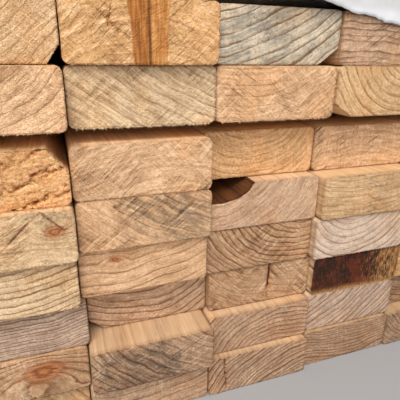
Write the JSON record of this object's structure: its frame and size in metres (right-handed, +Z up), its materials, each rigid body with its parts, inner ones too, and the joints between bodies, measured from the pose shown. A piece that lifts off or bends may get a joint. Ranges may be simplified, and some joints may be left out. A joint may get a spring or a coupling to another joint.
{
  "type": "bundle of pine studs",
  "caption": "Strapped bundle of dressed pine wall studs lying flat in courses, with tie laths and a torn white wrap over the top.",
  "frame": {"origin": "middle of the footprint, on the floor", "axes": "+X across the bundle, +Y along the studs away from the seen ends, +Z up"},
  "size_m": [0.7336, 2.431, 0.294],
  "materials": {
    "pine": "dressed faces, sawn ends",
    "rough_pine": "rough sawn",
    "strap_steel": "blued steel band",
    "wrap_sheet": "thin white plastic sheet"
  },
  "bodies": {
    "root": {"course_1": "pine", "course_2": "pine", "course_3": "pine", "course_4": "pine", "course_5": "pine", "course_6": "pine", "course_7": "pine", "course_8": "pine", "tie_laths": "rough_pine", "straps": "strap_steel", "wrap": "wrap_sheet"}
  },
  "joints": []
}
